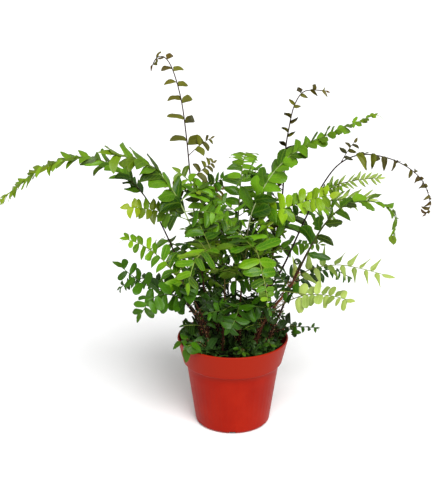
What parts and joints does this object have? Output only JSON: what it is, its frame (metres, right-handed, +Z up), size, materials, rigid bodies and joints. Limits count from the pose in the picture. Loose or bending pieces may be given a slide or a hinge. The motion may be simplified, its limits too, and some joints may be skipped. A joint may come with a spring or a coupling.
{
  "type": "potted fern",
  "caption": "Fern with arching compound fronds of oblong leaflets, growing in a round tapered nursery pot with a rim band, and standing on the pot's flat bottom.",
  "frame": {"origin": "centre of the pot's flat bottom, on the surface that it stands on", "axes": "+Z up along the pot's axis, +X to the right and +Y to the back as the picture shows the plant"},
  "size_m": [0.4608, 0.2784, 0.3959],
  "materials": {
    "pot_red": "satin thin moulded plastic, red-orange",
    "potting_soil": "matte, dark and coarse",
    "frond_green": "satin leaf, mid green",
    "frond_fresh": "satin leaf, bright yellow-green",
    "frond_dark": "satin leaf, dark green",
    "frond_bronze": "satin young leaf, bronze-green"
  },
  "bodies": {
    "root": {"pot": "pot_red", "soil": "potting_soil", "frond_tall_left": "frond_bronze", "frond_arch_left": "frond_green", "frond_broad_left": "frond_green", "frond_inner_left": "frond_green", "frond_young_right": "frond_bronze", "frond_rising_right": "frond_green", "frond_arch_right": "frond_bronze", "frond_stout_right": "frond_green", "frond_feather_right": "frond_fresh", "frond_pale_right": "frond_fresh", "frond_small_right": "frond_dark", "frond_low_left": "frond_fresh", "frond_dark_left": "frond_dark", "frond_drooping_left": "frond_dark", "frond_near_left": "frond_fresh", "frond_near_bright": "frond_fresh", "frond_crown_back": "frond_green", "frond_back_right": "frond_green", "frond_back": "frond_green", "frond_back_left": "frond_green", "frond_side_left": "frond_dark", "frond_side_right": "frond_dark", "frond_front": "frond_green", "sprig_left": "frond_dark", "sprig_near_left": "frond_dark", "sprig_front": "frond_dark", "sprig_near_right": "frond_dark", "sprig_right": "frond_dark", "sprig_back_right": "frond_dark", "sprig_back_left": "frond_dark", "fiddlehead": "frond_bronze"}
  },
  "joints": []
}
